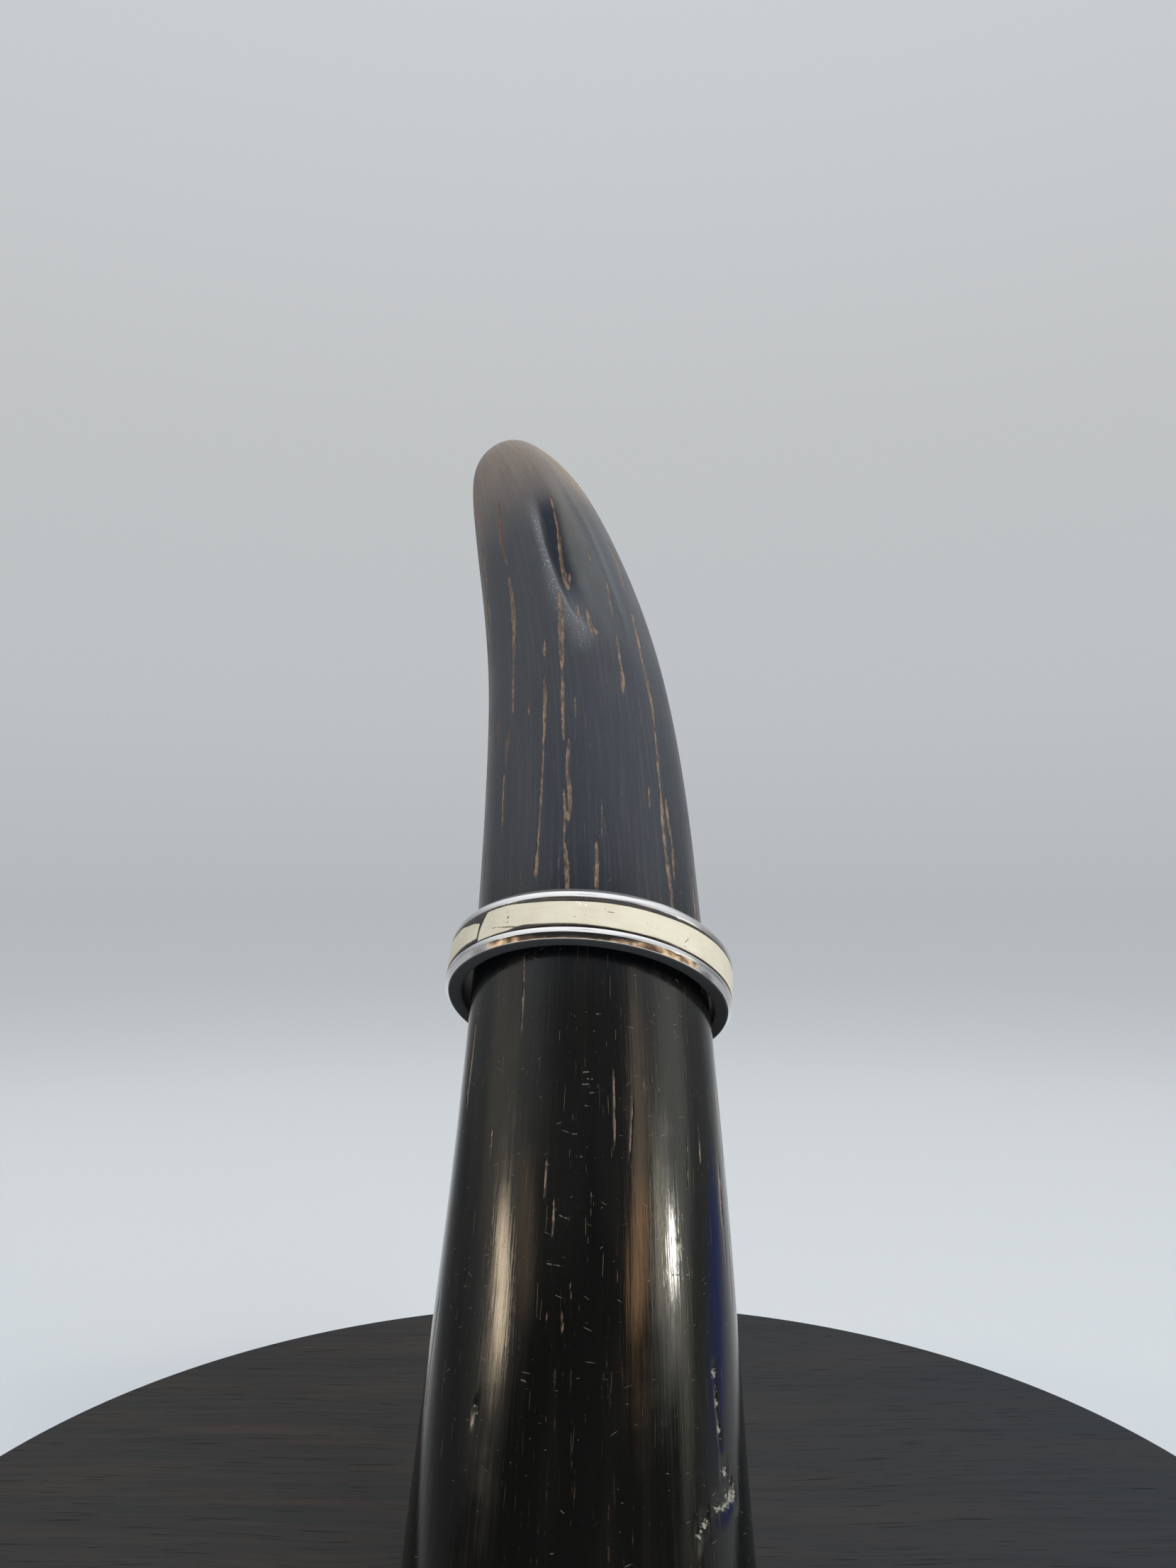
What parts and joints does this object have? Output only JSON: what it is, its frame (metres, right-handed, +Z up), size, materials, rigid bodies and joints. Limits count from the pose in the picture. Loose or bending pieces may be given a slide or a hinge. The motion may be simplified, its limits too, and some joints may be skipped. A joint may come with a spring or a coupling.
{
  "type": "inlay ring on a horn ring stand",
  "caption": "Bevelled metal band ring with a bone inlay in dark resin, resting tilted on a polished curved horn that stands on a round wooden base.",
  "frame": {"origin": "centre of the base's underside", "axes": "+Z up; the viewer of the picture is at -Y and +X is to the viewer's right; the horn leans towards +Y"},
  "size_m": [0.12, 0.12, 0.1077],
  "materials": {
    "band_metal": "polished steel",
    "dark_resin": "polished dark resin, flush with the bone",
    "bone": "polished cream bone with faint grain and brown specks",
    "polished_horn": "polished black horn with tan streaks and a grey-brown tip",
    "dark_wood": "dark brown waxed wood",
    "pin_steel": "plain steel, hidden"
  },
  "bodies": {
    "root": {"ring_band": "band_metal", "inlay_resin": "dark_resin", "bone_front": "bone", "bone_back": "bone", "horn": "polished_horn", "stand_base": "dark_wood", "fixing_pin": "pin_steel"}
  },
  "joints": []
}
